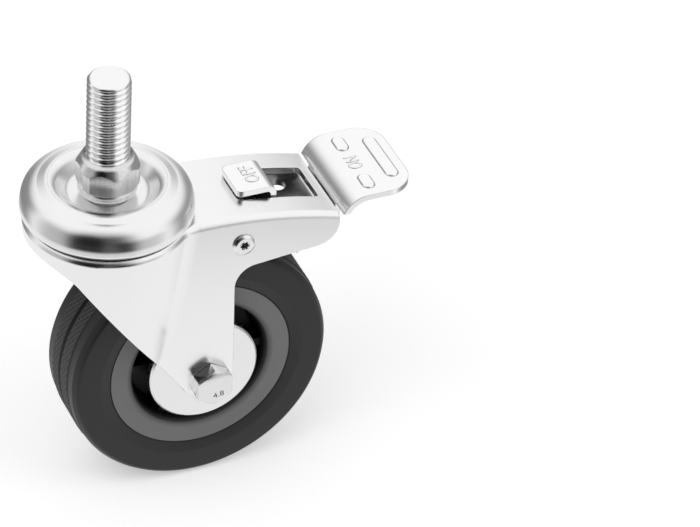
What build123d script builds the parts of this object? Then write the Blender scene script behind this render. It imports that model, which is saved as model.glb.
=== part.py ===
from build123d import *
from math import atan2, cos, degrees, pi, radians, sin, sqrt
import os

os.makedirs("parts", exist_ok=True)

# A braked swivel castor with a threaded stem, in millimetres.
# The origin is on the swivel axis, on the top face of the stem's collar, which is screwed up
# against the furniture. +Z runs up the stem. +X is the side that the wheel trails to and that
# the brake pedal points to. The axle lies along Y, with the bolt's head at -Y.

# Threaded stem, drawn as a plain rod at the thread's outer diameter
stem_d = 11.9
stem_length = 25.0
stem_tip_chamfer = 1.2
hex_af = 16.0
hex_height = 8.7
hex_turn = -3.0
collar_corner_r = 8.65
collar_seat_r = 7.0
collar_cone_height = 2.9
collar_foot_r = 7.9
collar_foot_height = 0.95
flange_d = 16.0
flange_height = 2.5
neck_d = 12.8
neck_height = 1.6
kingpin_d = 10.0
tail_height = 2.2

# Cup over the upper balls, pressed from one sheet
cup_sheet = 1.8
cup_rim_r = 23.5
cup_floor_r = 11.0
cup_crown_inner_r = 14.5
cup_crown_outer_r = 17.1
cup_crown_height = 4.45
cup_crease_r = 19.2
cup_crease_height = 3.65
cup_shoulder_r = 21.9
cup_shoulder_height = 2.9
cup_wall_top = -2.0
cup_depth = 5.4
cup_lip = 1.2

# Ball races of the swivel
running_gap = 0.05
upper_ball_d = 6.0
upper_ball_count = 16
upper_ball_crown_gap = 0.4
upper_ball_offset = 0.9
lower_ball_d = 5.0
lower_ball_count = 11
lower_pitch_r = 10.0
groove_depth = 0.4
race_hub_wall = 1.6
race_hub_gap = 0.6
lower_race_sheet = 2.0
lower_race_lip = 3.5

# Wheel
wheel_d = 75.0
tyre_width = 21.6
tyre_inner_d = 53.0
tread_step = 0.3
tread_band = 5.8
tread_groove = 0.8
hub_face_inset = 0.8
hub_recess_d = 39.0
hub_boss_d = 27.0
hub_web = 3.0
hub_rib_count = 6
hub_rib_width = 2.4
rib_setback = 4.0
tyre_key_height = 1.5
tyre_key_width = 7.0

# Ball bearings of the wheel, two alike
bearing_od = 22.0
bearing_bore = 8.0
bearing_width = 7.0
bearing_ring = 2.0
bearing_ball_d = 4.0
bearing_ball_count = 7
bearing_inset = 0.3

# Axle bolt, lock nut and what they clamp
bolt_d = 6.0
bolt_af = 10.0
bolt_head = 4.0
nut_height = 4.6
nut_crown = 1.8
nut_crown_d = 8.6
bolt_tip = 2.4
washer_d = 12.4
washer_height = 1.1
sleeve_gap = 0.05
cap_d = 31.6
cap_sheet = 1.2
cap_boss_d = 16.0
cap_boss_height = 2.4
cap_edge = 1.2
cap_collar_wall = 1.2

# Fork: one pressed sheet with a round head, two legs and the brake's arm
fork_sheet = 2.0
fork_head_r = 23.0
fork_foot_swell = 0.35
fork_blend = 8.0
head_gap = 0.7
trail = 24.4
wheel_headroom = 15.0
wheel_gap = 2.2
leg_flare = 2.45
leg_end_r = 6.9
leg_rear_x = 31.1
skirt_front = 4.3
skirt_knee_x = -13.3
skirt_knee_drop = 12.2
arm_end_x = 61.5
arm_flat_x = 22.0
arm_fall_r = 138.0
arm_heel_drop = 17.6
arm_toe_depth = 8.3
arm_edge_r = 1.8
arm_inner_edge_r = 0.4
arm_toe_r = 6.5
arm_heel_r = 6.5
window_start_x = 36.4
window_end_x = 58.8
window_half = 7.0
land_r = 18.8

# Brake lever, shoe, rivet and the washers that hold the lever by friction
lever_sheet = 1.8
lever_gap = 0.5
rivet_x = 33.5
rivet_drop = 9.5
rivet_d = 4.4
rivet_head_d = 6.2
rivet_head = 0.9
rivet_hole_d = 2.6
eye_r = 4.2
brake_swing = 12.0
shoe_gap = 0.3
shoe_side_gap = 0.1
shoe_start = 2.2
shoe_length = 15.8
tab_start_x = 35.2
tab_half = 6.4
tab_rise = 2.2
tongue_x = 45.6
lever_floor_drop = 12.4
relief_x = 53.2
relief_r = 2.4
pedal_x = 63.2
pedal_end_x = 84.4
pedal_half = 15.0
pedal_top_drop = 3.3
pedal_bend_r = 7.0
pedal_corner_r = 8.0
emboss = 0.35
long_pad_inset = 4.6
short_pad_inset = 12.7
short_pad_y = 9.0
neck_half = 9.5
neck_inset = 0.4
shoulder_drop = 7.4
friction_washer_d = 8.0
friction_washer_height = 0.3

# Levels along the swivel axis
hex_bottom = -hex_height
flange_bottom = hex_bottom - flange_height
cup_floor = flange_bottom - neck_height
cup_under = cup_floor - cup_sheet
rim_z = cup_floor - cup_depth
head_top = rim_z - head_gap
upper_ball_z = cup_floor + cup_crown_height - cup_sheet - upper_ball_crown_gap - upper_ball_d / 2
land_top = upper_ball_z - upper_ball_d / 2 - running_gap + groove_depth
land_under = land_top - fork_sheet
upper_pitch_r = (cup_crown_inner_r + cup_crown_outer_r) / 2 + upper_ball_offset
lower_ball_z = land_under + groove_depth - running_gap - lower_ball_d / 2
lower_race_top = lower_ball_z - lower_ball_d / 2 - running_gap + groove_depth
lower_race_under = lower_race_top - lower_race_sheet
hub_tube_r = kingpin_d / 2 + race_hub_wall

# Places of the axle, the rivet and the fork's walls
axle_z = rim_z - wheel_d / 2 - wheel_headroom
rivet_z = rim_z - rivet_drop
arm_half = tyre_width / 2 + wheel_gap + fork_sheet
fork_foot = axle_z - leg_end_r - 2.1


def wall_y(z):
    """Outer face of the fork's side wall, which leans outwards on its way down."""
    return arm_half + leg_flare * (head_top - z) / (head_top - fork_foot)


leg_y = wall_y(axle_z)
leg_inner = leg_y - fork_sheet
rivet_wall = wall_y(rivet_z)
lever_half = rivet_wall - fork_sheet - lever_gap
relief_y = (lever_half - lever_sheet + tab_half) / 2
neck_x = pedal_x - lever_sheet / 2 - 0.1
arm_inner_r = arm_fall_r - fork_sheet


def arm_top(x):
    """Level of the arm's top face, flat near the head and falling along an arc."""
    run = max(x - arm_flat_x, 0)
    return head_top - (arm_fall_r - sqrt(arm_fall_r**2 - run**2))


def turned(points):
    """Solid of revolution about Z from points given as (radius, level)."""
    outline = Polyline(*[(r, 0, z) for r, z in points], close=True)
    return revolve(make_face(outline), Axis.Z)


def turned_on_axle(points):
    """Solid of revolution about the axle from points given as (radius, y)."""
    outline = Polyline(*[(r, y, 0) for r, y in points], close=True)
    return Pos(trail, 0, axle_z) * revolve(make_face(outline), Axis.Y)


def mirrored(points):
    """Closed half outline from y = 0 up, made whole by its mirror image below."""
    return points + [(r, -y) for r, y in reversed(points)]


def across(radius, x, z, y_from, y_to):
    """Cylinder along Y between two distances from the mid plane."""
    middle = (y_from + y_to) / 2
    return Pos(x, middle, z) * Rot(90, 0, 0) * Cylinder(radius, abs(y_to - y_from))


def side_plate(face, y_from, y_to):
    """Plate with a side outline, drawn on the XZ plane, between two distances from it."""
    plate = extrude(face, y_to - y_from, dir=(0, 1, 0))
    return Pos(0, y_from, 0) * plate


def balls_round_z(count, diameter, pitch_r, z):
    ball = Sphere(diameter / 2)
    return Compound(children=[
        Pos(pitch_r * cos(2 * pi * i / count), pitch_r * sin(2 * pi * i / count), z) * ball
        for i in range(count)
    ])


def hexagon(across_flats, height, turn):
    return Rot(0, 0, turn - 30) * extrude(RegularPolygon(across_flats / 2, 6, major_radius=False), height)


def chamfered_hexagon(across_flats, height, turn, top, bottom):
    """Hexagonal prism from z = 0 up, its corners cut by cones at the top and the bottom."""
    corner_r = across_flats / 2 / cos(radians(30)) + 0.01
    face_r = across_flats / 2 * 0.93
    side = [(face_r, 0), (corner_r, bottom)] if bottom else [(corner_r, 0)]
    cone = turned([(0, 0)] + side + [(corner_r, height - top), (face_r, height), (0, height)])
    return hexagon(across_flats, height, turn) & cone


def stem():
    rod_r = stem_d / 2
    turned_parts = turned([
        (0, stem_length), (rod_r - stem_tip_chamfer, stem_length),
        (rod_r, stem_length - stem_tip_chamfer), (rod_r, -hex_height / 2),
        (neck_d / 2, -hex_height / 2), (neck_d / 2, hex_bottom), (flange_d / 2 - 0.5, hex_bottom),
        (flange_d / 2, hex_bottom - 0.6), (flange_d / 2, flange_bottom + 0.6),
        (flange_d / 2 - 0.5, flange_bottom), (neck_d / 2, flange_bottom), (neck_d / 2, cup_floor),
        (kingpin_d / 2, cup_floor), (kingpin_d / 2, lower_race_under),
        (hub_tube_r + 1.4, lower_race_under), (hub_tube_r + 1.4, lower_race_under - 0.8),
        (hub_tube_r, lower_race_under - tail_height), (0, lower_race_under - tail_height),
    ])
    collar_outline = turned([
        (0, hex_bottom), (collar_foot_r, hex_bottom),
        (collar_corner_r, hex_bottom + collar_foot_height), (collar_corner_r, -collar_cone_height),
        (collar_seat_r, 0), (0, 0),
    ])
    collar = Pos(0, 0, hex_bottom) * hexagon(hex_af, hex_height, hex_turn) & collar_outline
    return turned_parts + collar


def top_race():
    """Pressed cup: floor, rounded crown over the balls, a crease, and a bulging outer wall."""
    path = FilletPolyline(
        (kingpin_d / 2, 0), (cup_floor_r, 0), (cup_crown_inner_r, cup_crown_height),
        (cup_crown_outer_r, cup_crown_height), (cup_crease_r, cup_crease_height),
        (cup_shoulder_r, cup_shoulder_height), (cup_rim_r, cup_wall_top),
        (cup_rim_r, cup_lip - cup_depth), (cup_rim_r - 0.9, -cup_depth),
        radius=[2.0, 3.4, 4.0, 2.0, 4.8, 4.6, 1.2],
    )
    section = make_face(offset(path, cup_sheet, side=Side.RIGHT, closed=True, kind=Kind.TANGENT))
    return Pos(0, 0, cup_floor) * revolve(Plane.XZ * section, Axis.Z)


def upper_balls():
    return balls_round_z(upper_ball_count, upper_ball_d, upper_pitch_r, upper_ball_z)


def lower_balls():
    return balls_round_z(lower_ball_count, lower_ball_d, lower_pitch_r, lower_ball_z)


def lower_race():
    edge_r = lower_pitch_r + lower_race_lip
    body = turned([
        (kingpin_d / 2, cup_under), (hub_tube_r, cup_under), (hub_tube_r, lower_race_top),
        (edge_r, lower_race_top), (edge_r, lower_race_under), (kingpin_d / 2, lower_race_under),
    ])
    groove = Pos(0, 0, lower_ball_z) * Torus(lower_pitch_r, lower_ball_d / 2 + running_gap)
    return body - groove


def fork_tub(inset):
    """Tub of the head and legs, drawn in by one sheet thickness for its inside.

    A cone under the round head runs into a slab between the two leaning side walls.
    """
    foot_half = wall_y(fork_foot)
    height = head_top - fork_foot
    cone = Cone(foot_half + fork_foot_swell - inset, fork_head_r - inset, height)
    half_top = arm_half - inset
    half_foot = foot_half - inset
    front = Plane.YZ * make_face(Polyline(
        (-half_top, head_top), (half_top, head_top), (half_foot, fork_foot), (-half_foot, fork_foot),
        close=True,
    ))
    tub = Pos(0, 0, (head_top + fork_foot) / 2) * cone + extrude(front, arm_end_x + 20)
    valleys = [
        e for e in tub.edges()
        if 0 < e.center().X < fork_head_r and abs(e.center().Y) > half_top - 1 and e.length > height - 1
    ]
    return fillet(valleys, fork_blend + inset)


def round_top(solid, radius):
    """Round the edge where the top face turns down into the walls."""
    tops = [f for f in solid.faces() if f.normal_at().Z > 0.9]
    return fillet([e for f in tops for e in f.edges() if e.bounding_box().size.X > 0.01], radius)


def fork_outline():
    """Side view of the fork: head, falling arm, rounded arm end, legs and front skirt."""
    back_x = -fork_head_r - 1
    axle = Vector(trail, axle_z)
    knee = Vector(skirt_knee_x, rim_z - skirt_knee_drop)
    gap = axle - knee
    tangent = degrees(atan2(gap.Y, gap.X)) - degrees(atan2(leg_end_r, sqrt(gap.length**2 - leg_end_r**2)))
    left_foot = axle + Vector(leg_end_r, 0).rotate(Axis.Z, tangent - 90)
    right_foot = axle + Vector(leg_rear_x - trail, 0)
    heel = (leg_rear_x, rim_z - arm_heel_drop)
    toe = (arm_end_x, arm_top(arm_end_x) - arm_toe_depth)
    top_end = (arm_end_x, arm_top(arm_end_x))
    middle_x = (arm_flat_x + arm_end_x) / 2
    top = Line((back_x, head_top), (arm_flat_x, head_top))
    fall = ThreePointArc((arm_flat_x, head_top), (middle_x, arm_top(middle_x)), top_end)
    rear = FilletPolyline(top_end, toe, heel, right_foot, radius=[arm_toe_r, arm_heel_r])
    foot = ThreePointArc(right_foot, axle + Vector(0, -leg_end_r), left_foot)
    front = Line(left_foot, knee)
    skirt_start = (back_x, rim_z - skirt_front - head_gap)
    skirt = ThreePointArc(knee, (skirt_knee_x - 3.6, rim_z - 8.2), skirt_start)
    close = Line(skirt_start, (back_x, head_top))
    return Plane.XZ * make_face([top, fall, rear, foot, front, skirt, close])


def fork_inside_outline():
    """Side view of the hollow, one sheet below the top and open at the arm's end and below."""
    back_x = -fork_head_r - 1
    end_x = arm_end_x + 1
    under = head_top - fork_sheet
    end_z = head_top - arm_fall_r + sqrt(arm_inner_r**2 - (end_x - arm_flat_x)**2)
    middle_x = (arm_flat_x + end_x) / 2
    middle_z = head_top - arm_fall_r + sqrt(arm_inner_r**2 - (middle_x - arm_flat_x)**2)
    top = Line((back_x, under), (arm_flat_x, under))
    fall = ThreePointArc((arm_flat_x, under), (middle_x, middle_z), (end_x, end_z))
    sides = Polyline((end_x, end_z), (end_x, fork_foot), (back_x, fork_foot), (back_x, under))
    return Plane.XZ * make_face([top, fall, sides])


def fork():
    span = 3 * fork_head_r
    outer = round_top(fork_tub(0) & extrude(fork_outline(), span, both=True), arm_edge_r)
    inside = fork_tub(fork_sheet) & extrude(fork_inside_outline(), span, both=True)
    inner = round_top(inside, arm_inner_edge_r)
    shell = outer - inner
    # The head's middle is pressed up into a land that carries the upper balls
    recess_r = land_r - fork_sheet
    shell -= Pos(0, 0, head_top - fork_sheet / 2) * Cylinder(recess_r, 2 * fork_sheet)
    hole_r = hub_tube_r + race_hub_gap
    shell += turned([
        (hole_r, land_top), (land_r - 1, land_top), (land_r, land_top - 1),
        (land_r, head_top - fork_sheet), (recess_r, head_top - fork_sheet),
        (recess_r, land_under), (hole_r, land_under),
    ])
    shell -= Pos(0, 0, upper_ball_z) * Torus(upper_pitch_r, upper_ball_d / 2 + running_gap)
    shell -= Pos(0, 0, lower_ball_z) * Torus(lower_pitch_r, lower_ball_d / 2 + running_gap)
    window = extrude(RectangleRounded(window_end_x - window_start_x, 2 * window_half, 1.0), 30)
    shell -= Pos((window_start_x + window_end_x) / 2, 0, rim_z - 10) * window
    # Coined flats under the bolt's head, the nut's washer, the dust caps and the rivet's heads
    for side in (-1, 1):
        shell -= across(leg_end_r - 0.4, trail, axle_z, side * (leg_y - 0.02), side * (leg_y + 2))
        shell -= across(cap_boss_d / 2 + 0.4, trail, axle_z, side * 8, side * leg_inner)
        rivet_seat = across(rivet_head_d / 2 + 0.3, rivet_x, rivet_z, rivet_wall, rivet_wall + 2)
        shell -= rivet_seat if side > 0 else mirror(rivet_seat, Plane.XZ)
    shell -= across(bolt_d / 2 + 0.1, trail, axle_z, -span, span)
    shell -= across(rivet_d / 2 + running_gap, rivet_x, rivet_z, -span, span)
    return shell


def lever_strip():
    """Side section of the folded strip: tab, tongue, floor, bend and pedal."""
    tab_z = arm_top(tab_start_x) + tab_rise - lever_sheet / 2
    floor_z = rim_z - lever_floor_drop
    pedal_z = rim_z - pedal_top_drop
    path = FilletPolyline(
        (tab_start_x, tab_z), (tongue_x, tab_z), (tongue_x, floor_z), (pedal_x, floor_z),
        (pedal_x, pedal_z), (pedal_end_x, pedal_z),
        radius=[1.9, 4.5, 2.0, pedal_bend_r],
    )
    band = offset(path, lever_sheet / 2, side=Side.BOTH, kind=Kind.TANGENT)
    return Plane.XZ * make_face(band)


def lever_plan():
    """Plan of the strip: narrow tab and tongue, wider floor, and the broad pedal."""
    tongue_length = relief_x - tab_start_x
    tongue = Pos((tab_start_x + relief_x) / 2, 0) * RectangleRounded(tongue_length, 2 * tab_half, 1.8)
    floor_start = relief_x - 1
    floor = Pos((floor_start + neck_x + 2) / 2, 0) * Rectangle(neck_x + 2 - floor_start, 2 * lever_half)
    reach = pedal_end_x - neck_x
    pedal = Pos(neck_x + reach / 2, 0) * Rectangle(reach, 2 * pedal_half)
    outer_corners = [v for v in pedal.vertices() if v.X > pedal_end_x - 1]
    pedal = fillet(outer_corners, pedal_corner_r)
    plan = tongue + floor + pedal
    for side in (-1, 1):
        plan -= Pos(relief_x, side * relief_y) * Circle(relief_r)
    return plan


def lever_ear():
    """Side outline of an ear, from the floor's end back to the eye round the rivet."""
    floor_under = rim_z - lever_floor_drop - lever_sheet / 2
    body = make_face(Polyline(
        (rivet_x, rivet_z + eye_r), (tongue_x, rivet_z + 1.4), (neck_x, floor_under + 2.6),
        (neck_x, floor_under), (relief_x - 6, floor_under), (rivet_x, rivet_z - eye_r), close=True,
    ))
    return Plane.XZ * (body + Pos(rivet_x, rivet_z) * Circle(eye_r))


def brake_pedal():
    span = 2 * pedal_half
    strip = extrude(lever_strip(), span, both=True)
    plan = Pos(0, 0, rim_z - 40) * extrude(lever_plan(), 80)
    lever = strip & plan
    for side in (-1, 1):
        inner = side * (lever_half - lever_sheet)
        outer = side * lever_half
        lever += side_plate(lever_ear(), min(inner, outer), max(inner, outer))
        # The neck is narrower than the pedal, so that it passes between the arm's walls
        cut = span - neck_half
        notch = Box(pedal_end_x - arm_end_x + neck_inset, cut, 20)
        notch_x = (pedal_end_x + arm_end_x - neck_inset) / 2
        lever -= Pos(notch_x, side * (neck_half + cut / 2), rim_z - shoulder_drop - 10) * notch
    lever -= across(rivet_d / 2 + running_gap, rivet_x, rivet_z, -span, span)
    # Raised pads pressed into the pedal, one long and two short
    pedal_top = rim_z - pedal_top_drop + lever_sheet / 2
    long_pad = Pos(pedal_end_x - long_pad_inset, 0) * Rot(0, 0, 90) * SlotOverall(19, 3.8)
    short_x = pedal_end_x - short_pad_inset
    short_pad = Rot(0, 0, 90) * SlotOverall(6.6, 3.6)
    short_pads = [Pos(short_x, y) * short_pad for y in (-short_pad_y, short_pad_y)]
    for pad in [long_pad] + short_pads:
        lever += Pos(0, 0, pedal_top) * extrude(pad, emboss, taper=40)
    return lever


def brake_shoe():
    """Block on the rivet whose lower face meets the tread when the pedal is down."""
    half = lever_half - lever_sheet - shoe_side_gap
    swing = radians(brake_swing)
    arm_x = trail - rivet_x
    arm_z = axle_z - rivet_z
    centre_x = rivet_x + arm_x * cos(swing) - arm_z * sin(swing)
    centre_z = rivet_z + arm_x * sin(swing) + arm_z * cos(swing)
    face_r = wheel_d / 2 + shoe_gap
    start_x = rivet_x + shoe_start
    end_x = start_x + shoe_length
    floor_under = rim_z - lever_floor_drop - lever_sheet / 2
    tongue_left = tongue_x - lever_sheet / 2 - 0.4
    block = make_face(Polyline(
        (rivet_x, rivet_z + 2.5), (tongue_left, rivet_z + 1.0), (tongue_left, rivet_z - 1.4),
        (tongue_left + 2.2, floor_under - 0.05), (end_x, floor_under - 0.05), (end_x, centre_z),
        (start_x, centre_z), (start_x, rivet_z - 3.0), (rivet_x, rivet_z - 3.0), close=True,
    ))
    outline = block + Pos(rivet_x, rivet_z) * Circle(eye_r - 0.8) - Pos(centre_x, centre_z) * Circle(face_r)
    shoe = side_plate(Plane.XZ * outline, -half, half)
    return shoe - across(rivet_d / 2 + running_gap, rivet_x, rivet_z, -2 * half, 2 * half)


def brake_rivet():
    """Hollow rivet through both walls, with a domed head at each end."""
    half = rivet_wall
    head_r = rivet_head_d / 2
    hole_r = rivet_hole_d / 2
    body = [
        (rivet_d / 2, 0), (rivet_d / 2, half), (head_r, half), (head_r, half + rivet_head * 0.4),
        (head_r - 0.7, half + rivet_head), (hole_r, half + rivet_head),
        (hole_r, half - 6), (0, half - 6),
    ]
    outline = Polyline(*[(r, y, 0) for r, y in mirrored(body)], close=True)
    return Pos(rivet_x, 0, rivet_z) * revolve(make_face(outline), Axis.Y)


def friction_washer():
    """Thin washer on the rivet, between the fork's wall and the lever's ear."""
    ring = Cylinder(friction_washer_d / 2, friction_washer_height)
    ring -= Cylinder(rivet_d / 2 + running_gap, 2 * friction_washer_height)
    middle = lever_half + running_gap + friction_washer_height / 2
    return Pos(rivet_x, middle, rivet_z) * Rot(90, 0, 0) * ring


def axle_bolt():
    head_r = bolt_af / 2 * 0.93
    start = -leg_y
    end = leg_y + washer_height + nut_height + nut_crown + bolt_tip
    shank = across(bolt_d / 2, trail, axle_z, start - 1, end)
    tip = shank.edges().filter_by(GeomType.CIRCLE).sort_by(Axis.Y)[-1]
    shank = chamfer(tip, 0.9)
    head = chamfered_hexagon(bolt_af, bolt_head, 0, bolt_head * 0.16, 0)
    return shank + Pos(trail, start, axle_z) * Rot(90, 0, 0) * head


def axle_nut():
    start = leg_y + washer_height
    body = chamfered_hexagon(bolt_af, nut_height, 0, 0.7, 0.5)
    crown_r = nut_crown_d / 2
    crown = turned([
        (0, nut_height - 0.5), (crown_r, nut_height - 0.5), (crown_r, nut_height + nut_crown - 0.6),
        (crown_r - 0.6, nut_height + nut_crown), (0, nut_height + nut_crown),
    ])
    body = body + crown
    seat_r = crown_r - 0.9
    body -= Pos(0, 0, nut_height + nut_crown / 2) * Cylinder(seat_r, nut_crown + 0.5)
    body -= Pos(0, 0, nut_height / 2) * Cylinder(bolt_d / 2, nut_height + 8)
    return Pos(trail, start, axle_z) * Rot(-90, 0, 0) * body


def nut_insert():
    """Nylon ring in the nut's crown that grips the thread."""
    start = leg_y + washer_height + nut_height - 0.25
    ring_r = nut_crown_d / 2 - 0.9
    return turned_on_axle([
        (bolt_d / 2, start), (ring_r, start), (ring_r, start + nut_crown - 0.1),
        (bolt_d / 2, start + nut_crown - 0.1),
    ])


def nut_washer():
    return turned_on_axle([
        (bolt_d / 2 + 0.1, leg_y), (washer_d / 2, leg_y), (washer_d / 2, leg_y + washer_height - 0.3),
        (washer_d / 2 - 0.3, leg_y + washer_height), (bolt_d / 2 + 0.1, leg_y + washer_height),
    ])


def axle_sleeve():
    half = leg_inner - sleeve_gap
    return turned_on_axle(mirrored([(bearing_bore / 2, half), (bolt_d / 2 + 0.05, half)]))


def dust_cap():
    """Pressed disc beside the wheel, with a raised boss and a collar back to the bearing."""
    bore_r = bearing_bore / 2
    boss_r = cap_boss_d / 2
    rim_r = cap_d / 2
    front = leg_inner - sleeve_gap
    face = front - cap_boss_height
    back = tyre_width / 2 - bearing_inset
    return turned_on_axle([
        (bore_r, front), (boss_r - 1.2, front), (boss_r, face), (rim_r - 0.6, face),
        (rim_r, face - 0.6), (rim_r, face - cap_sheet - cap_edge),
        (rim_r - cap_sheet, face - cap_sheet - cap_edge),
        (rim_r - cap_sheet, face - cap_sheet), (boss_r - 1.0, face - cap_sheet),
        (boss_r - 2.2, front - cap_sheet), (bore_r + cap_collar_wall, front - cap_sheet),
        (bore_r + cap_collar_wall, back), (bore_r, back),
    ])


def bearing_middle():
    return tyre_width / 2 - bearing_inset - bearing_width / 2


def bearing_groove():
    pitch_r = (bearing_od + bearing_bore) / 4
    ring = Torus(pitch_r, bearing_ball_d / 2 + running_gap)
    return Pos(trail, bearing_middle(), axle_z) * Rot(90, 0, 0) * ring


def bearing_ring_solid(inner_r, outer_r):
    low = bearing_middle() - bearing_width / 2
    high = bearing_middle() + bearing_width / 2
    ease = 0.3
    body = turned_on_axle([
        (inner_r + ease, low), (outer_r - ease, low), (outer_r, low + ease), (outer_r, high - ease),
        (outer_r - ease, high), (inner_r + ease, high), (inner_r, high - ease), (inner_r, low + ease),
    ])
    return body - bearing_groove()


def bearing_balls():
    pitch_r = (bearing_od + bearing_bore) / 4
    ring = balls_round_z(bearing_ball_count, bearing_ball_d, pitch_r, 0)
    return Pos(trail, bearing_middle(), axle_z) * Rot(90, 0, 0) * ring


def hub():
    """Moulded wheel centre: rim under the tyre, web, boss for the bearings and ribs."""
    rim_r = tyre_inner_d / 2
    face = tyre_width / 2 - hub_face_inset
    recess_r = hub_recess_d / 2
    boss_r = hub_boss_d / 2
    boss_face = tyre_width / 2
    seat_r = bearing_od / 2
    bearing_back = bearing_middle() - bearing_width / 2
    shoulder_r = seat_r - bearing_ring
    body = turned_on_axle(mirrored([
        (shoulder_r, bearing_back), (seat_r, bearing_back), (seat_r, boss_face), (boss_r - 0.6, boss_face),
        (boss_r, boss_face - 0.6), (boss_r, hub_web / 2), (recess_r - 1.2, hub_web / 2),
        (recess_r, face - 2.0), (recess_r + 0.6, face - 0.7), (recess_r + 2.0, face), (rim_r, face),
        (rim_r, tyre_key_width / 2), (rim_r + tyre_key_height, tyre_key_width / 2 - 1),
    ]))
    rib_depth = 2 * (face - rib_setback)
    rib_length = recess_r - boss_r + 1.6
    rib = Pos((boss_r + recess_r) / 2, 0, 0) * Box(rib_length, rib_depth, hub_rib_width)
    for i in range(hub_rib_count):
        body += Pos(trail, 0, axle_z) * Rot(0, 360 / hub_rib_count * i, 0) * rib
    return body


def tyre():
    rim_r = tyre_inner_d / 2
    face = tyre_width / 2 - hub_face_inset
    tread_r = wheel_d / 2
    shoulder_r = tread_r - tread_step
    return turned_on_axle(mirrored([
        (rim_r + tyre_key_height, tyre_key_width / 2 - 1), (rim_r, tyre_key_width / 2), (rim_r, face),
        (rim_r + 3.0, tyre_width / 2), (tread_r - 1.8, tyre_width / 2),
        (shoulder_r - 0.6, tyre_width / 2 - 0.5),
        (shoulder_r, tyre_width / 2 - 1.6), (shoulder_r, tread_band), (tread_r, tread_band - 0.5),
        (tread_r, tread_groove), (tread_r - 0.8, tread_groove / 2),
    ]))


sub_parts = {
    "stem": stem(),
    "top_race": top_race(),
    "upper_balls": upper_balls(),
    "fork": fork(),
    "lower_race": lower_race(),
    "lower_balls": lower_balls(),
    "brake_pedal": brake_pedal(),
    "brake_shoe": brake_shoe(),
    "brake_rivet": brake_rivet(),
    "axle_bolt": axle_bolt(),
    "axle_nut": axle_nut(),
    "nut_insert": nut_insert(),
    "nut_washer": nut_washer(),
    "axle_sleeve": axle_sleeve(),
    "hub": hub(),
    "tyre": tyre(),
}
bearing_r = bearing_bore / 2
paired = {
    "friction_washer": friction_washer(),
    "dust_cap": dust_cap(),
    "bearing_inner": bearing_ring_solid(bearing_r, bearing_r + bearing_ring),
    "bearing_outer": bearing_ring_solid(bearing_od / 2 - bearing_ring, bearing_od / 2),
    "bearing_balls": bearing_balls(),
}
for name, solid in paired.items():
    sub_parts[name + "_nut_side"] = solid
    sub_parts[name + "_head_side"] = mirror(solid, Plane.XZ)

for name, solid in sub_parts.items():
    export_step(solid, f"parts/{name}.step")
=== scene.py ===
# %% [markdown]
# A braked swivel castor of the kind that screws into the foot of a trolley or a cabinet.
# The solids come from the imported CAD model, which is loaded first and never moved. This
# script gives each of them its finish, and adds what the CAD model leaves plain: the screw
# threads, the finer section of the cup, the tyre's rounded edges and knurled net, the raised
# letters, the marks that stamping and riveting leave, and thin grey lines round the foot of
# the relief, which are dirt with painted shade. The origin lies on the swivel axis at the
# top of the hex collar, with Z up the stem.

# %% Load the CAD model as a fixed frame
from math import atan2, cos, pi, radians, sin, sqrt, tan

import bmesh
import bpy
from mathutils import Matrix, Vector


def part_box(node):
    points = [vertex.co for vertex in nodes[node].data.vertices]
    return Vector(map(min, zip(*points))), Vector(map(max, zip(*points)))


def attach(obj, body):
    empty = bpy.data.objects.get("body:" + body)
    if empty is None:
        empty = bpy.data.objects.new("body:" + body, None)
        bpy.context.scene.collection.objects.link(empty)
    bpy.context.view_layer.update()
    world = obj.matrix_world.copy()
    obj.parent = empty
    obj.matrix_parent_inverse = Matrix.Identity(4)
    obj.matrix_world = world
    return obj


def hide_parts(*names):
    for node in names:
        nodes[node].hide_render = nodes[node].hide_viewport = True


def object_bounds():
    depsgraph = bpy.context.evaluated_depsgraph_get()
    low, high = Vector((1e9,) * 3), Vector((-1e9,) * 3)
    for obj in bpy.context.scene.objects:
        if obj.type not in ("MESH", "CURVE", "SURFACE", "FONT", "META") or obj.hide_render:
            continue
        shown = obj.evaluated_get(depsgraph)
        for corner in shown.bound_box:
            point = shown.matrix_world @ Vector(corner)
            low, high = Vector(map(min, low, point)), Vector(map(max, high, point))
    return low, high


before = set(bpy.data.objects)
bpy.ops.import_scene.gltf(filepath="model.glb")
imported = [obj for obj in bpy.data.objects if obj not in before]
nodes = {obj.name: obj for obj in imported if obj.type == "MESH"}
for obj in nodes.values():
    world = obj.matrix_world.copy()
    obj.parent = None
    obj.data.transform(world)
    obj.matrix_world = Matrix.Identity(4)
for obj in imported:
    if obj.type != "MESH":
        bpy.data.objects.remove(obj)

MM = 0.001
cad_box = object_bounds()
print("CAD box in mm:", [[round(v / MM, 1) for v in corner] for corner in cad_box])

# %% [markdown]
# The measures below are in millimetres. The places that follow from others, such as the face
# of the bolt's head or the top of the tab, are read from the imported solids. The few driving
# sizes, such as the axle's place, are repeated here.

# %% Measures shared by several pieces
STEM_R = 5.95
STEM_TOP = 25.0
TIP_CHAMFER = 1.2
AXLE_X = 24.4
AXLE_Z = -70.7
TREAD_R = 37.5
TYRE_HALF = 10.8
RIVET_X = 33.5
RIVET_Z = -27.7
PEDAL_TOP = -20.6
BOLT_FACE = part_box("axle_bolt")[0].y / MM
BOLT_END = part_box("axle_bolt")[1].y / MM
NUT_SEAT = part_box("axle_nut")[0].y / MM
RIVET_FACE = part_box("brake_rivet")[1].y / MM
TAB_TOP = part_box("brake_pedal")[1].z / MM
print("bolt face", round(BOLT_FACE, 2), "rivet face", round(RIVET_FACE, 2), "tab top", round(TAB_TOP, 2))

# %% [markdown]
# An object holds its data, such as a camera, a lamp or a mesh, and shows only when it is linked
# to the scene. One helper does both for every new object here.

# %% Helper that puts an object in the scene
def link_object(name, data):
    """New object that holds the data and belongs to the scene."""
    new_object = bpy.data.objects.new(name, data)
    bpy.context.scene.collection.objects.link(new_object)
    return new_object


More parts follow.
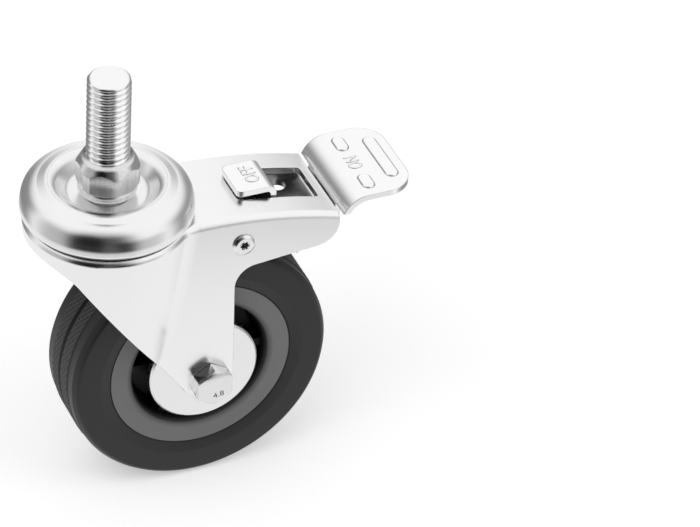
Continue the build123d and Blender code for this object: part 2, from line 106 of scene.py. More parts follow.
# %% [markdown]
# The camera stands a little over a metre away, to the left of the bolt's side, and looks
# down at about 37 degrees through a long lens, so that the round forms keep their shape.
# Its three axes were worked out from the wheel, the stem and the cup seen together.

# %% Camera
CAMERA_PLACE = Vector((-361.8, -915.7, 722.4)) * MM
CAMERA_RIGHT = Vector((0.9173, -0.3954, 0.0468))
CAMERA_UP = Vector((0.2072, 0.5745, 0.7919))
CAMERA_BACK = CAMERA_RIGHT.cross(CAMERA_UP)

camera_data = bpy.data.cameras.new("camera")
camera_data.sensor_width = 36.0
camera_data.lens = 237.14
camera_data.clip_end = 20.0
camera = link_object("camera", camera_data)
turn = Matrix((CAMERA_RIGHT, CAMERA_UP, CAMERA_BACK)).transposed()
camera.matrix_world = Matrix.Translation(CAMERA_PLACE) @ turn.to_4x4()
bpy.context.scene.camera = camera
print("camera distance in mm:", round(CAMERA_PLACE.length / MM))

# %% [markdown]
# Node trees are easier to read when each node is one line. These helpers add a node, set its
# values and join it to what feeds it, and start a shader node group with named sockets. An
# input is given by its name, or as i0, i1 and so on by its number.

# %% Helpers for node trees
def add_node(tree, kind, settings=None, **inputs):
    node = tree.nodes.new(kind)
    for key, value in (settings or {}).items():
        setattr(node, key, value)
    for key, value in inputs.items():
        numbered = key[0] == "i" and key[1:].isdigit()
        socket = node.inputs[int(key[1:]) if numbered else key.replace("_", " ")]
        if isinstance(value, bpy.types.NodeSocket):
            tree.links.new(value, socket)
        else:
            socket.default_value = value
    return node


def calculate(tree, operation, first, second=0.0, clamp=False):
    settings = {"operation": operation, "use_clamp": clamp}
    return add_node(tree, "ShaderNodeMath", settings, i0=first, i1=second).outputs[0]


def calculate_vector(tree, operation, first, second=(0.0, 0.0, 0.0), result="Vector"):
    settings = {"operation": operation}
    return add_node(tree, "ShaderNodeVectorMath", settings, i0=first, i1=second).outputs[result]


def smooth_step(tree, value, low, high, start=0.0, end=1.0):
    settings = {"interpolation_type": "SMOOTHSTEP"}
    node = add_node(
        tree, "ShaderNodeMapRange", settings, Value=value,
        From_Min=low, From_Max=high, To_Min=start, To_Max=end,
    )
    return node.outputs["Result"]


def mix_values(tree, mask, first, second):
    """The first value where the mask is 0, and the second where it is 1."""
    return add_node(tree, "ShaderNodeMix", None, Factor=mask, A=first, B=second).outputs["Result"]


def mix_colours(tree, mask, first, second):
    """The first colour where the mask is 0, and the second where it is 1."""
    settings = {"data_type": "RGBA"}
    return add_node(tree, "ShaderNodeMix", settings, i0=mask, i6=first, i7=second).outputs[2]


def new_group(name, inputs, outputs):
    group = bpy.data.node_groups.new(name, "ShaderNodeTree")
    for label, kind, value in inputs:
        socket = group.interface.new_socket(label, in_out="INPUT", socket_type=kind)
        if value is not None:
            socket.default_value = value
    for label, kind in outputs:
        group.interface.new_socket(label, in_out="OUTPUT", socket_type=kind)
    return group, group.nodes.new("NodeGroupInput"), group.nodes.new("NodeGroupOutput")


def use_group(tree, group, **inputs):
    return add_node(tree, "ShaderNodeGroup", {"node_tree": group}, **inputs)


# %% [markdown]
# Bright plating has no look of its own: it shows the room. A photographer's white studio has a
# few dark cards in it, and they draw the black gaps between the threads and the soft grey bands
# on the cup. The darkest one stands behind the camera. This group says how bright the studio
# is in a direction: each card is full inside one angle, fades out at a wider one, and ends at
# its own height, which is given as the sine of an elevation. Its darkness is the share of the
# white that it takes away. Azimuths are counted from +X.

# %% Node group: the studio's cards
FLOAT, COLOUR, VECTOR = "NodeSocketFloat", "NodeSocketColor", "NodeSocketVector"
CARDS = [
    {"azimuth": -116, "full": 16, "end": 52, "top": 0.84, "darkness": 0.92},
    {"azimuth": -162, "full": 18, "end": 52, "top": 0.60, "darkness": 0.50},
    {"azimuth": -66, "full": 10, "end": 36, "top": 0.10, "darkness": 0.40},
    {"azimuth": 16, "full": 24, "end": 50, "top": 0.40, "darkness": 0.68},
    {"azimuth": 112, "full": 16, "end": 40, "top": 0.45, "darkness": 0.75},
]
CARD_TOP_FADE = 0.24

studio_cards, group_in, group_out = new_group(
    "Studio cards", [("Direction", VECTOR, None)], [("Brightness", FLOAT)],
)
unit = calculate_vector(studio_cards, "NORMALIZE", group_in.outputs["Direction"])
height = add_node(studio_cards, "ShaderNodeSeparateXYZ", None, i0=unit).outputs["Z"]
level_part = calculate_vector(studio_cards, "MULTIPLY", unit, (1.0, 1.0, 0.0))
heading = calculate_vector(studio_cards, "NORMALIZE", level_part)
brightness = 1.0
for card in CARDS:
    azimuth, top = radians(card["azimuth"]), card["top"]
    towards_card = (cos(azimuth), sin(azimuth), 0.0)
    facing = calculate_vector(studio_cards, "DOT_PRODUCT", heading, towards_card, "Value")
    end, full = cos(radians(card["end"])), cos(radians(card["full"]))
    shade = smooth_step(studio_cards, facing, end, full, 0.0, card["darkness"])
    below = smooth_step(studio_cards, height, top - CARD_TOP_FADE, top + CARD_TOP_FADE, 1.0, 0.0)
    shade = calculate(studio_cards, "MULTIPLY", shade, below)
    brightness = calculate(studio_cards, "SUBTRACT", brightness, shade, clamp=True)
studio_cards.links.new(brightness, group_out.inputs["Brightness"])
print("cards in the studio:", len(CARDS))

# %% [markdown]
# The floor is a large white sheet at the height where the tread touches it. Diffuse light
# sees plain white paper, and the camera sees it a touch brighter, so that it runs into the
# white background and still keeps the castor's soft shadow. Metal sees white paper close by,
# and the cards further out: they fade in between two distances from the origin, in metres.

# %% Floor
FLOOR_HALF = 4.0
CARDS_START = 0.170
CARDS_FULL = 0.222
PAPER = 0.92
CAMERA_LIFT = 0.36

floor_level = cad_box[0].z
square = ((-1, -1), (1, -1), (1, 1), (-1, 1))
corners = [(x * FLOOR_HALF, y * FLOOR_HALF, floor_level) for x, y in square]
floor_mesh = bpy.data.meshes.new("floor")
floor_mesh.from_pydata(corners, [], [(0, 1, 2, 3)])
floor_sheet = link_object("floor", floor_mesh)

paper = bpy.data.materials.new("floor paper")
paper.use_nodes = True
tree = paper.node_tree
tree.nodes.clear()
light_path = add_node(tree, "ShaderNodeLightPath").outputs
place = add_node(tree, "ShaderNodeNewGeometry").outputs["Position"]
distance = calculate_vector(tree, "LENGTH", place, result="Value")
reach = smooth_step(tree, distance, CARDS_START, CARDS_FULL)
cards = use_group(tree, studio_cards, Direction=place).outputs["Brightness"]
mirror_level = mix_values(tree, reach, PAPER, cards)
matt = add_node(tree, "ShaderNodeBsdfDiffuse", None, Color=(PAPER, PAPER, PAPER, 1.0)).outputs[0]
lift = calculate(tree, "MULTIPLY", light_path["Is Camera Ray"], CAMERA_LIFT)
lifted = add_node(tree, "ShaderNodeEmission", None, Strength=lift).outputs[0]
camera_view = add_node(tree, "ShaderNodeAddShader", None, i0=matt, i1=lifted).outputs[0]
reflected = add_node(tree, "ShaderNodeEmission", None, Strength=mirror_level).outputs[0]
mirrored_ray = calculate(tree, "MAXIMUM", light_path["Is Glossy Ray"], light_path["Is Transmission Ray"])
both = add_node(tree, "ShaderNodeMixShader", None, i0=mirrored_ray, i1=camera_view, i2=reflected).outputs[0]
add_node(tree, "ShaderNodeOutputMaterial", None, Surface=both)
paper.cycles.emission_sampling = "NONE"
floor_mesh.materials.append(paper)
print("floor level in mm:", round(floor_level / MM, 1))

# %% [markdown]
# The world lights everything evenly, and the camera sees it as plain white. Metal sees the
# same white with the cards in it, which leave it white overhead. The world isn't sampled as a
# lamp, because such samples know only its diffuse level and would wash out the reflections.

# %% World
WORLD_LIGHT = 0.50

world = bpy.data.worlds.new("studio")
bpy.context.scene.world = world
world.use_nodes = True
tree = world.node_tree
tree.nodes.clear()
light_path = add_node(tree, "ShaderNodeLightPath").outputs
direction = add_node(tree, "ShaderNodeTexCoord").outputs["Generated"]
mirror_level = use_group(tree, studio_cards, Direction=direction).outputs["Brightness"]
mirrored_ray = calculate(tree, "MAXIMUM", light_path["Is Glossy Ray"], light_path["Is Transmission Ray"])
level = mix_values(tree, mirrored_ray, WORLD_LIGHT, mirror_level)
level = mix_values(tree, light_path["Is Camera Ray"], level, 1.0)
white = (1.0, 1.0, 1.0, 1.0)
background = add_node(tree, "ShaderNodeBackground", None, Color=white, Strength=level).outputs[0]
add_node(tree, "ShaderNodeOutputWorld", None, Surface=background)
world.cycles.sampling_method = "NONE"
bpy.context.scene.view_settings.view_transform = "Standard"
print("nodes in the world:", len(tree.nodes))

# %% [markdown]
# Two soft lamps shape the form: a large one high on the left, and a weaker one on the right
# that lifts the pedal and the side of the wheel. They are left out of reflections, where their
# square outlines would show as hard patches on the plating.

# %% Lamps
def soft_lamp(name, place, size, power):
    """Square area lamp that points at the origin; its place and size are in metres."""
    data = bpy.data.lights.new(name, "AREA")
    data.size = size
    data.energy = power
    lamp = link_object(name, data)
    lamp.location = place
    lamp.rotation_euler = (-Vector(place)).to_track_quat("-Z", "Y").to_euler()
    lamp.visible_glossy = False
    print(name, "in watts:", power)


soft_lamp("key lamp", (-0.9, -0.5, 1.3), 1.4, 9.0)
soft_lamp("fill lamp", (1.1, -0.9, 0.8), 1.0, 4.5)

# %% [markdown]
# Every surface here varies a little: plating is cloudy, rubber is blotchy, and most of them
# have a fine grain. One group makes that for all of them. It takes a colour and a roughness,
# and gives back a slightly uneven colour, an uneven roughness and a bumped normal. The normal
# is also bent round each corner, because no real edge is quite sharp, and such an edge is what
# draws a bright or a dark line round a piece of sheet metal. The edge radius and the grain's
# height are in millimetres.

# %% Node group: fine surface
fine_surface, group_in, group_out = new_group(
    "Fine surface",
    [
        ("Colour", COLOUR, (0.8, 0.8, 0.8, 1.0)), ("Colour spread", FLOAT, 0.1),
        ("Roughness", FLOAT, 0.4), ("Roughness spread", FLOAT, 0.1),
        ("Clouds per metre", FLOAT, 180.0), ("Grains per metre", FLOAT, 3000.0),
        ("Grain height", FLOAT, 0.01), ("Edge radius", FLOAT, 0.25),
    ],
    [("Colour", COLOUR), ("Roughness", FLOAT), ("Normal", VECTOR)],
)
where = add_node(fine_surface, "ShaderNodeTexCoord").outputs["Object"]
clouds = add_node(
    fine_surface, "ShaderNodeTexNoise", None,
    Vector=where, Scale=group_in.outputs["Clouds per metre"], Detail=4.0,
)
grain = add_node(
    fine_surface, "ShaderNodeTexNoise", None,
    Vector=where, Scale=group_in.outputs["Grains per metre"], Detail=2.0,
)
swing = calculate(fine_surface, "SUBTRACT", clouds.outputs[0], 0.5)
brighter = calculate(fine_surface, "MULTIPLY", swing, group_in.outputs["Colour spread"])
value = calculate(fine_surface, "ADD", brighter, 1.0)
tinted = add_node(
    fine_surface, "ShaderNodeVectorMath", {"operation": "SCALE"},
    i0=group_in.outputs["Colour"], Scale=value,
)
fine_surface.links.new(tinted.outputs[0], group_out.inputs["Colour"])
rougher = calculate(fine_surface, "MULTIPLY", swing, group_in.outputs["Roughness spread"])
rough = calculate(fine_surface, "ADD", rougher, group_in.outputs["Roughness"], clamp=True)
fine_surface.links.new(rough, group_out.inputs["Roughness"])
edge_radius = calculate(fine_surface, "MULTIPLY", group_in.outputs["Edge radius"], MM)
rounded = add_node(fine_surface, "ShaderNodeBevel", {"samples": 8}, Radius=edge_radius).outputs["Normal"]
grain_height = calculate(fine_surface, "MULTIPLY", grain.outputs[0], group_in.outputs["Grain height"])
bump = add_node(
    fine_surface, "ShaderNodeBump", None,
    Strength=1.0, Distance=MM, Normal=rounded, Height=grain_height,
)
fine_surface.links.new(bump.outputs["Normal"], group_out.inputs["Normal"])
print("nodes in the fine surface:", len(fine_surface.nodes))

# %% [markdown]
# A bar that is drawn through a die keeps straight fine lines along it. They are noise that is
# stretched along one axis. The group gives a mask from dark line to bright line.

# %% Node group: drawn lines
drawn_lines, group_in, group_out = new_group(
    "Drawn lines", [("Stretch", VECTOR, (1.0, 1.0, 1.0)), ("Fineness", FLOAT, 900.0)], [("Lines", FLOAT)],
)
where = add_node(drawn_lines, "ShaderNodeTexCoord").outputs["Object"]
squeezed = calculate_vector(drawn_lines, "MULTIPLY", where, group_in.outputs["Stretch"])
streaks = add_node(
    drawn_lines, "ShaderNodeTexNoise", None,
    Vector=squeezed, Scale=group_in.outputs["Fineness"], Detail=3.0,
)
drawn_lines.links.new(streaks.outputs[0], group_out.inputs["Lines"])
print("nodes in the drawn lines:", len(drawn_lines.nodes))

# %% [markdown]
# Each finish is one material with the shader in plain sight, fed by the groups. Plating is
# metallic all over, so only its colour, its roughness and its fine bumps change. The stem, the
# lever and the fasteners have the clearest shine, and the cup and the fork are a little softer.
# The two dull marks are dark and only partly metallic: they stand for dirt in a stamped
# corner, together with painted shade for the shadow in that corner. The stem's plating has
# no bent normals: its mesh is fine enough to be round by itself.

# %% Materials: metals
def finish(
    name, colour, roughness, metallic, colour_spread, rough_spread, grain,
    clouds=180.0, specular=0.5, edge=0.25,
):
    """Principled material fed by the fine-surface group; edge is the radius of its corners."""
    material = bpy.data.materials.new(name)
    material.use_nodes = True
    tree = material.node_tree
    tree.nodes.clear()
    surface = use_group(tree, fine_surface, Colour=(*colour, 1.0), Roughness=roughness)
    surface.inputs["Colour spread"].default_value = colour_spread
    surface.inputs["Roughness spread"].default_value = rough_spread
    surface.inputs["Clouds per metre"].default_value = clouds
    surface.inputs["Grain height"].default_value = grain
    surface.inputs["Edge radius"].default_value = edge
    shader = add_node(
        tree, "ShaderNodeBsdfPrincipled", None, Base_Color=surface.outputs["Colour"],
        Roughness=surface.outputs["Roughness"], Normal=surface.outputs["Normal"], Metallic=metallic,
        Specular_IOR_Level=specular,
    )
    add_node(tree, "ShaderNodeOutputMaterial", None, Surface=shader.outputs[0])
    return material


def surface_of(material):
    """The fine surface inside a finish, for a colour or a roughness that changes over the piece."""
    return next(node for node in material.node_tree.nodes if node.type == "GROUP")


# Each row gives name, colour, roughness, metallic, spread of colour, spread of roughness, grain.
bright_plate = finish("bright plate", (0.90, 0.90, 0.905), 0.25, 1.0, 0.05, 0.05, 0.002)
satin_plate = finish("satin plate", (0.92, 0.92, 0.925), 0.24, 1.0, 0.04, 0.08, 0.003, edge=0.40)
pedal_plate = finish("pedal plate", (0.95, 0.95, 0.955), 0.15, 1.0, 0.04, 0.06, 0.003, edge=0.35)
stem_plate = finish("stem plate", (0.93, 0.93, 0.93), 0.12, 1.0, 0.04, 0.04, 0.0, edge=0.0)
fastener_plate = finish("fastener plate", (0.80, 0.80, 0.80), 0.14, 1.0, 0.06, 0.06, 0.003, edge=0.20)
cap_plate = finish("dust cap plate", (0.86, 0.86, 0.86), 0.28, 1.0, 0.04, 0.10, 0.003, edge=0.40)
race_steel = finish("race steel", (0.62, 0.63, 0.64), 0.15, 1.0, 0.05, 0.06, 0.002)
# The stamped mark and the root of the relief are dark with dirt and painted shade.
stamped_mark_and_shade = finish("stamped mark with dirt and painted shade", (0.16, 0.16, 0.16), 0.55, 0.6, 0.10, 0.05, 0.003)
root_dirt_and_shade = finish("dirt and painted shade at the root of the relief", (0.34, 0.34, 0.34), 0.45, 0.8, 0.10, 0.05, 0.003)
print("metal finishes made, with the floor's paper:", len(bpy.data.materials))

# %% [markdown]
# The hex collar keeps the fine upright lines of the bar that it was cut from. They are drawn
# by mixing a darker and a lighter grey, so the flats look brushed from any side.

# %% Material: brushed collar
DARK_LINE = (0.70, 0.70, 0.70, 1.0)
LIGHT_LINE = (0.80, 0.80, 0.80, 1.0)

collar_plate = finish("brushed collar", LIGHT_LINE[:3], 0.22, 1.0, 0.04, 0.06, 0.001, edge=0.10)
surface = surface_of(collar_plate)
tree = collar_plate.node_tree
lines = use_group(tree, drawn_lines, Stretch=(1.0, 1.0, 0.03), Fineness=2600.0).outputs["Lines"]
sharper = smooth_step(tree, lines, 0.30, 0.70)
brushed = mix_colours(tree, sharper, DARK_LINE, LIGHT_LINE)
tree.links.new(brushed, surface.inputs["Colour"])
print("nodes in the brushed collar:", len(tree.nodes))

# %% [markdown]
# The lever runs through the arm. Inside the arm it is darkened to a mid-grey, a painted
# shade for the shadow in the arm's window, and it is rougher there. It turns bright where it
# comes out: upwards as the tab, and outwards as the pedal. The mask is made from the height
# and the distance along the arm.

# %% Material: lever
ARM_END = 61.0
ARM_TOP = -22.5
MASK_FADE = 1.0
LEVER_BRIGHT = (0.95, 0.95, 0.955, 1.0)
LEVER_PAINTED_SHADE = (0.36, 0.36, 0.36, 1.0)
BRIGHT_ROUGHNESS = 0.15
HIDDEN_ROUGHNESS = 0.38

lever_plate = finish(
    "lever plate", LEVER_BRIGHT[:3], BRIGHT_ROUGHNESS, 1.0, 0.04, 0.06, 0.003, edge=0.35,
)
surface = surface_of(lever_plate)
tree = lever_plate.node_tree
where = add_node(tree, "ShaderNodeTexCoord").outputs["Object"]
axes = add_node(tree, "ShaderNodeSeparateXYZ", None, i0=where).outputs
below_top = smooth_step(tree, axes["Z"], (ARM_TOP - MASK_FADE) * MM, ARM_TOP * MM, 1.0, 0.0)
before_end = smooth_step(tree, axes["X"], (ARM_END - MASK_FADE) * MM, ARM_END * MM, 1.0, 0.0)
# Painted shade: this mask darkens the lever inside the arm.
painted_shade_mask = calculate(tree, "MULTIPLY", below_top, before_end)
mixed = mix_colours(tree, painted_shade_mask, LEVER_BRIGHT, LEVER_PAINTED_SHADE)
tree.links.new(mixed, surface.inputs["Colour"])
rougher = smooth_step(tree, painted_shade_mask, 0.0, 1.0, BRIGHT_ROUGHNESS, HIDDEN_ROUGHNESS)
tree.links.new(rougher, surface.inputs["Roughness"])
print("nodes in the lever plate:", len(tree.nodes))

# %% [markdown]
# The tyre is black thermoplastic rubber. Its knurled net is scuffed and catches more light, so
# it is greyer. The brake's shoe is a plain black rubber, and the nut's locking ring is
# off-white nylon.

# %% Materials: rubber and nylon
tyre_rubber = finish(
    "tyre rubber", (0.020, 0.020, 0.0205), 0.46, 0.0, 0.22, 0.12, 0.010, clouds=120.0, specular=0.35,
)
knurl_rubber = finish(
    "knurl rubber", (0.070, 0.070, 0.072), 0.45, 0.0, 0.20, 0.10, 0.006, clouds=300.0, specular=0.45,
)
shoe_rubber = finish("shoe rubber", (0.022, 0.022, 0.022), 0.60, 0.0, 0.20, 0.10, 0.010)
locking_nylon = finish("locking nylon", (0.70, 0.70, 0.66), 0.45, 0.0, 0.05, 0.08, 0.004)
print("materials so far:", len(bpy.data.materials))

# %% [markdown]
# The wheel's centre is grey plastic. Inside the recess its colour fades to near-black, a
# painted shade for the shadow deep in the recess, and the same painted shade draws a fine
# dark line where the tyre's lip meets the grey outer ring. The material tells them apart by
# the distance from the axle, which is the same in the object's own space however the wheel turns.

# %% Material: wheel centre
RING_COLOUR = (0.185, 0.185, 0.188, 1.0)
PAINTED_SHADE_COLOUR = (0.003, 0.003, 0.003, 1.0)
RECESS_R = 19.0
RECESS_BLEND = 2.6
RING_R = 26.05
RING_BLEND = 0.25

wheel_centre = finish("wheel centre", RING_COLOUR[:3], 0.50, 0.0, 0.10, 0.10, 0.006, specular=0.25)
surface = surface_of(wheel_centre)
tree = wheel_centre.node_tree
where = add_node(tree, "ShaderNodeTexCoord").outputs["Object"]
offset = calculate_vector(tree, "SUBTRACT", where, (AXLE_X * MM, 0.0, AXLE_Z * MM))
across_axle = calculate_vector(tree, "MULTIPLY", offset, (1.0, 0.0, 1.0))
from_axle = calculate_vector(tree, "LENGTH", across_axle, result="Value")
outside = smooth_step(tree, from_axle, RECESS_R * MM, (RECESS_R + RECESS_BLEND) * MM)
inside = smooth_step(tree, from_axle, RING_R * MM, (RING_R + RING_BLEND) * MM, 1.0, 0.0)
ring_mask = calculate(tree, "MULTIPLY", outside, inside)
# Painted shade: near-black inside the recess and at the tyre's lip, grey on the ring.
mixed = mix_colours(tree, ring_mask, PAINTED_SHADE_COLOUR, RING_COLOUR)
tree.links.new(mixed, surface.inputs["Colour"])
print("nodes in the wheel centre:", len(tree.nodes))

# %% [markdown]
# Every solid of the CAD model gets one of these finishes, by its name.

# %% Finishes for the CAD solids
node_finish = {
    "stem": stem_plate,
    "top_race": bright_plate,
    "lower_race": satin_plate,
    "fork": satin_plate,
    "brake_pedal": lever_plate,
    "brake_shoe": shoe_rubber,
    "brake_rivet": bright_plate,
    "axle_bolt": fastener_plate,
    "axle_nut": fastener_plate,
    "nut_insert": locking_nylon,
    "nut_washer": fastener_plate,
    "axle_sleeve": fastener_plate,
    "hub": wheel_centre,
    "tyre": tyre_rubber,
    "upper_balls": race_steel,
    "lower_balls": race_steel,
}
for side in ("nut_side", "head_side"):
    node_finish["dust_cap_" + side] = cap_plate
    node_finish["friction_washer_" + side] = fastener_plate
    for piece in ("bearing_inner_", "bearing_outer_", "bearing_balls_"):
        node_finish[piece + side] = race_steel
for name, node in nodes.items():
    node.data.materials.clear()
    node.data.materials.append(node_finish[name])
print("solids with a finish:", len(nodes))

# %% [markdown]
# New meshes are all made the same way: a list of points and faces, cleaned of doubled points,
# turned outwards and shaded smooth except across sharp edges. The two cleaning distances are
# in metres, far below anything that shows.

# %% Helper that makes a piece
SHARP = radians(32)
WELD = 1e-6
SLIVER = 1e-7


def make_piece(name, verts, faces, material, body, replaced=(), close=False, sharp=SHARP):
    mesh = bpy.data.meshes.new(name)
    mesh.from_pydata([Vector(v) * MM for v in verts], [], faces)
    work = bmesh.new()
    work.from_mesh(mesh)
    bmesh.ops.remove_doubles(work, verts=work.verts, dist=WELD)
    bmesh.ops.dissolve_degenerate(work, edges=work.edges, dist=SLIVER)
    if close:
        open_edges = [e for e in work.edges if e.is_boundary]
        bmesh.ops.holes_fill(work, edges=open_edges, sides=0)
    bmesh.ops.recalc_face_normals(work, faces=work.faces)
    work.to_mesh(mesh)
    work.free()
    mesh.materials.append(material)
    mesh.shade_smooth()
    mesh.set_sharp_from_angle(angle=sharp)
    piece = link_object(name, mesh)
    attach(piece, body)
    if replaced:
        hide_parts(*replaced)
    print(name, "faces:", len(mesh.polygons))


# %% [markdown]
# A threaded bar keeps the plain part of its CAD solid. That solid isn't changed: a copy of its
# mesh is cut at a plane, what lies beyond the plane goes, and the cut is closed with a face.

# %% Helper that cuts a copy of a solid
def cut_copy(name, node_name, place, axis, material, sharp):
    """Copy of a CAD solid's mesh without the part beyond the plane at a place across an axis."""
    mesh = nodes[node_name].data.copy()
    work = bmesh.new()
    work.from_mesh(mesh)
    bmesh.ops.remove_doubles(work, verts=work.verts, dist=WELD)
    geometry = work.verts[:] + work.edges[:] + work.faces[:]
    plane_place = [v * MM for v in place]
    bmesh.ops.bisect_plane(work, geom=geometry, plane_co=plane_place, plane_no=axis, clear_outer=True)
    bmesh.ops.holes_fill(work, edges=[e for e in work.edges if e.is_boundary], sides=0)
    work.to_mesh(mesh)
    work.free()
    mesh.materials.clear()
    mesh.materials.append(material)
    mesh.shade_smooth()
    mesh.set_sharp_from_angle(angle=sharp)
    print(name, "faces:", len(mesh.polygons))
    return link_object(name, mesh)


# %% [markdown]
# A rolled thread is one groove wound round a bar. Its section is drawn once, as the radius at
# each phase of a turn, and swept along a helix. The points beyond the ends are pressed back
# to them, and at the tip a rounded edge cuts the crests down, as on a real rolled screw.

# %% Helper that winds a thread
THREAD_STEPS = 144
THREAD_PHASES = 16
THREAD_SHARP = radians(75)
RUN_IN = 1.5


def wind_thread(crest_r, depth, pitch, low, high, chamfer):
    """Points and faces of a right-hand thread about Z from level low up to level high."""
    turns = int((high - low) / pitch + 2 * RUN_IN)
    steps = THREAD_STEPS * turns
    verts, faces = [], []
    for i in range(steps + 1):
        angle = 2 * pi * i / THREAD_STEPS
        for k in range(THREAD_PHASES):
            phase = k / THREAD_PHASES
            z = low + pitch * (angle / (2 * pi) + phase - RUN_IN)
            z = min(max(z, low), high)
            wave = 0.5 + 0.5 * cos(2 * pi * phase)
            r = crest_r - depth * (1 - wave)
            into_tip = min(max(1 - (high - z) / chamfer, 0.0), 1.0)
            r = min(r, crest_r - chamfer * (1 - sqrt(1 - into_tip ** 2)))
            verts.append((r * cos(angle), r * sin(angle), z))
    for i in range(steps):
        for k in range(THREAD_PHASES):
            here = i * THREAD_PHASES + k
            if k < THREAD_PHASES - 1:
                above = here + 1
            else:
                above = (i + THREAD_STEPS) * THREAD_PHASES
            if above + THREAD_PHASES < len(verts):
                faces.append((here, here + THREAD_PHASES, above + THREAD_PHASES, above))
    return verts, faces


# %% [markdown]
# The stem keeps the collar, flange and neck of the CAD solid, whose copy is cut off level with
# the collar's top. The threaded bar is wound above it and starts a little below that face, so
# the two read as one forging.

# %% Threaded stem
COLLAR_CUT = 0.02
COLLAR_SHARP = radians(12)
THREAD_PITCH = 1.75
THREAD_DEPTH = 0.58
THREAD_FOOT = -0.4

collar = cut_copy("stem_collar", "stem", (0, 0, COLLAR_CUT), (0, 0, 1), collar_plate, COLLAR_SHARP)
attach(collar, "head")

verts, faces = wind_thread(STEM_R, THREAD_DEPTH, THREAD_PITCH, THREAD_FOOT, STEM_TOP, TIP_CHAMFER)
make_piece(
    "stem_thread", verts, faces, stem_plate, "head",
    replaced=("stem",), close=True, sharp=THREAD_SHARP,
)

# %% [markdown]
# Round pieces are turned: their half section is a list of rows, each with a radius, a level and
# the radius of its corner. The corners are rounded off by small arcs, and the section is swept
# round the axle or the swivel axis in fine steps.

# %% Helpers that turn a section
def round_corners(rows, steps):
    """Closed section with arcs in place of its corners; a corner radius of 0 keeps the corner."""
    points = [Vector(row[:2]) for row in rows]
    result = []
    for i, corner in enumerate(points):
        radius = rows[i][2]
        if radius == 0:
            result.append(tuple(corner))
            continue
        before = (points[i - 1] - corner).normalized()
        after = (points[(i + 1) % len(points)] - corner).normalized()
        half = before.angle(after) / 2
        first = corner + before * (radius / tan(half))
        last = corner + after * (radius / tan(half))
        centre = corner + (before + after).normalized() * (radius / sin(half))
        start = atan2(first.y - centre.y, first.x - centre.x)
        sweep = atan2(last.y - centre.y, last.x - centre.x) - start
        sweep = (sweep + pi) % (2 * pi) - pi
        for k in range(steps + 1):
            angle = start + sweep * k / steps
            result.append((centre.x + radius * cos(angle), centre.y + radius * sin(angle)))
    return result


def turn_section(section, steps, about_axle):
    """Points and faces of a closed (radius, level) section turned about the axle or about Z."""
    verts, faces = [], []
    count = len(section)
    for i in range(steps):
        c, s = cos(2 * pi * i / steps), sin(2 * pi * i / steps)
        for r, level in section:
            if about_axle:
                verts.append((AXLE_X + r * c, level, AXLE_Z + r * s))
            else:
                verts.append((r * c, r * s, level))
        for k in range(count):
            a, b = i * count + k, i * count + (k + 1) % count
            turn_on = count * ((i + 1) % steps) - count * i
            faces.append((a, b, b + turn_on, a + turn_on))
    return verts, faces


# %% [markdown]
# The cup is pressed from one sheet in several strokes. They leave a narrow crown over the balls,
# a fine crease round it, and a full round flank down to the rim, which gives the soft bands of
# grey. The CAD cup has the same form with a plainer crease, since its sheet is even all over.
# Here it is turned from a finer section, in which the sheet is drawn thinner at the crease. The
# levels are counted from the top of the cup's floor.

# %% Cup
CUP_STEPS = 216
CUP_ARC_STEPS = 8
CUP_SHEET = 1.8
CUP_R = 23.5
CUP_BORE_R = 5.0
CROWN = 4.45
RIM_DEPTH = 5.4
CUP_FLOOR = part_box("top_race")[0].z / MM + RIM_DEPTH
CUP_SECTION = [
    (CUP_BORE_R, 0.0, 0), (11.0, 0.0, 2.0), (14.5, CROWN, 3.2), (16.6, CROWN, 3.0),
    (18.8, 3.55, 1.2), (20.6, 3.2, 5.0), (22.9, 0.9, 5.0), (CUP_R, -2.2, 6.0), (CUP_R, -4.2, 0.9),
    (22.6, -RIM_DEPTH, 0.3), (21.9, -5.0, 0.2), (21.8, -2.2, 3.5), (20.9, 0.6, 1.5),
    (19.4, 1.7, 1.5), (16.9, CROWN - CUP_SHEET, 1.5), (15.0, CROWN - CUP_SHEET, 1.0),
    (12.2, -CUP_SHEET, 2.0), (CUP_BORE_R, -CUP_SHEET, 0),
]

rows = [(r, CUP_FLOOR + level, radius) for r, level, radius in CUP_SECTION]
verts, faces = turn_section(round_corners(rows, CUP_ARC_STEPS), CUP_STEPS, about_axle=False)
make_piece("cup_pressed", verts, faces, bright_plate, "head", replaced=("top_race",))

# %% [markdown]
# The tyre's tread has two raised bands beside a centre groove, smooth shoulders a little lower,
# and a rolled edge that catches the light. Half of its section is drawn and mirrored.

# %% Tyre
TYRE_STEPS = 240
TYRE_ARC_STEPS = 4
BAND = 5.8
GROOVE = 0.8
GROOVE_DEPTH = 0.8
SHOULDER_R = TREAD_R - 0.3
EDGE_DROP = 1.9
SEAT_R = 26.5
LIP_FACE = TYRE_HALF - 0.75
KEY_HALF = 3.5
KEY_HEIGHT = 1.5

half_rows = [
    (SEAT_R + KEY_HEIGHT, KEY_HALF - 1, 0.2), (SEAT_R, KEY_HALF, 0.2), (SEAT_R, LIP_FACE, 0.25),
    (SEAT_R + 3.0, TYRE_HALF, 1.0), (TREAD_R - EDGE_DROP, TYRE_HALF, 0.35),
    (TREAD_R - 1.15, TYRE_HALF - 0.5, 0.3), (SHOULDER_R, TYRE_HALF - EDGE_DROP, 0.6),
    (SHOULDER_R, BAND, 0.1), (TREAD_R, BAND - 0.4, 0.15),
    (TREAD_R, GROOVE, 0.15), (TREAD_R - GROOVE_DEPTH, GROOVE / 2, 0.15),
]
rows = half_rows + [(r, -level, radius) for r, level, radius in reversed(half_rows)]
verts, faces = turn_section(round_corners(rows, TYRE_ARC_STEPS), TYRE_STEPS, about_axle=True)
make_piece("tyre_moulded", verts, faces, tyre_rubber, "wheel", replaced=("tyre",))

